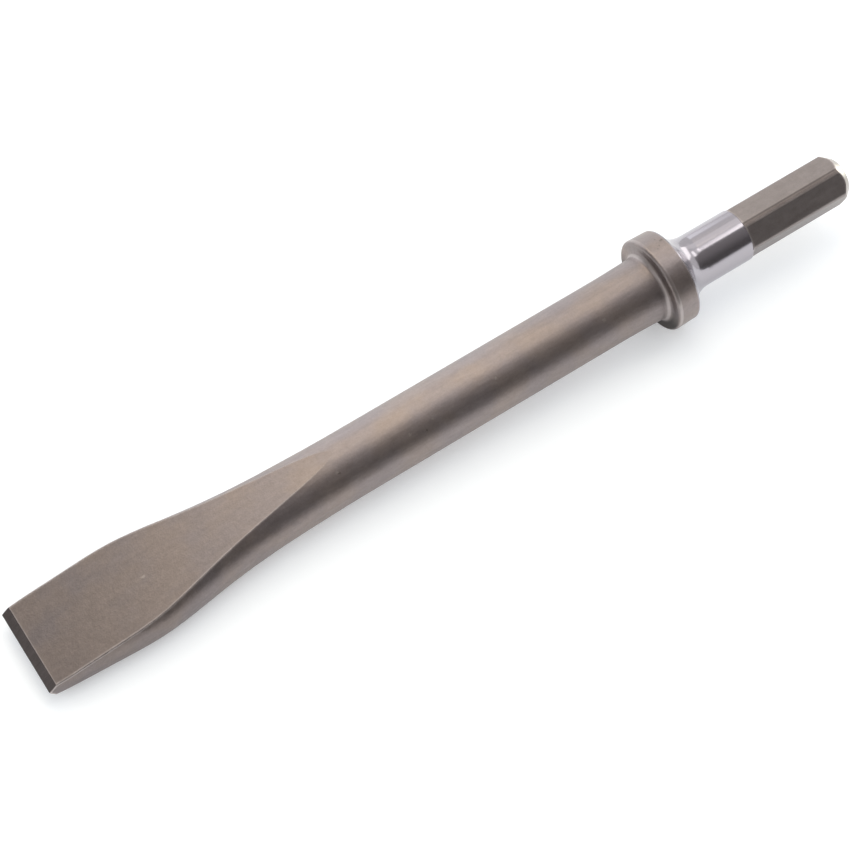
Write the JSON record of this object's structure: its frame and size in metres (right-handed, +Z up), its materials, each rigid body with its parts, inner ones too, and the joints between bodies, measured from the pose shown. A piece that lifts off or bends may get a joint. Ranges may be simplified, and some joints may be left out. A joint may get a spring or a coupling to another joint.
{
  "type": "flat chisel",
  "caption": "Flat chisel for a chipping hammer: a round steel bar with a collar, a ground neck and a hexagonal shank, forged and ground into a wide flat blade.",
  "frame": {"origin": "centre of the bounding box's bottom face, on the floor that the chisel lies on", "axes": "+X from the cutting edge towards the striking end, +Z up, +Y across the blade; the tool's own axis lies in the XZ plane and rises by 2.6 degrees towards the striking end, because the chisel rests on its collar and on the underside of its bar"},
  "size_m": [0.28, 0.0324, 0.03],
  "materials": {
    "steel": "blasted satin steel, with a polished ground neck and a freshly ground cutting edge"
  },
  "bodies": {
    "root": {"chisel": "steel"}
  },
  "joints": []
}
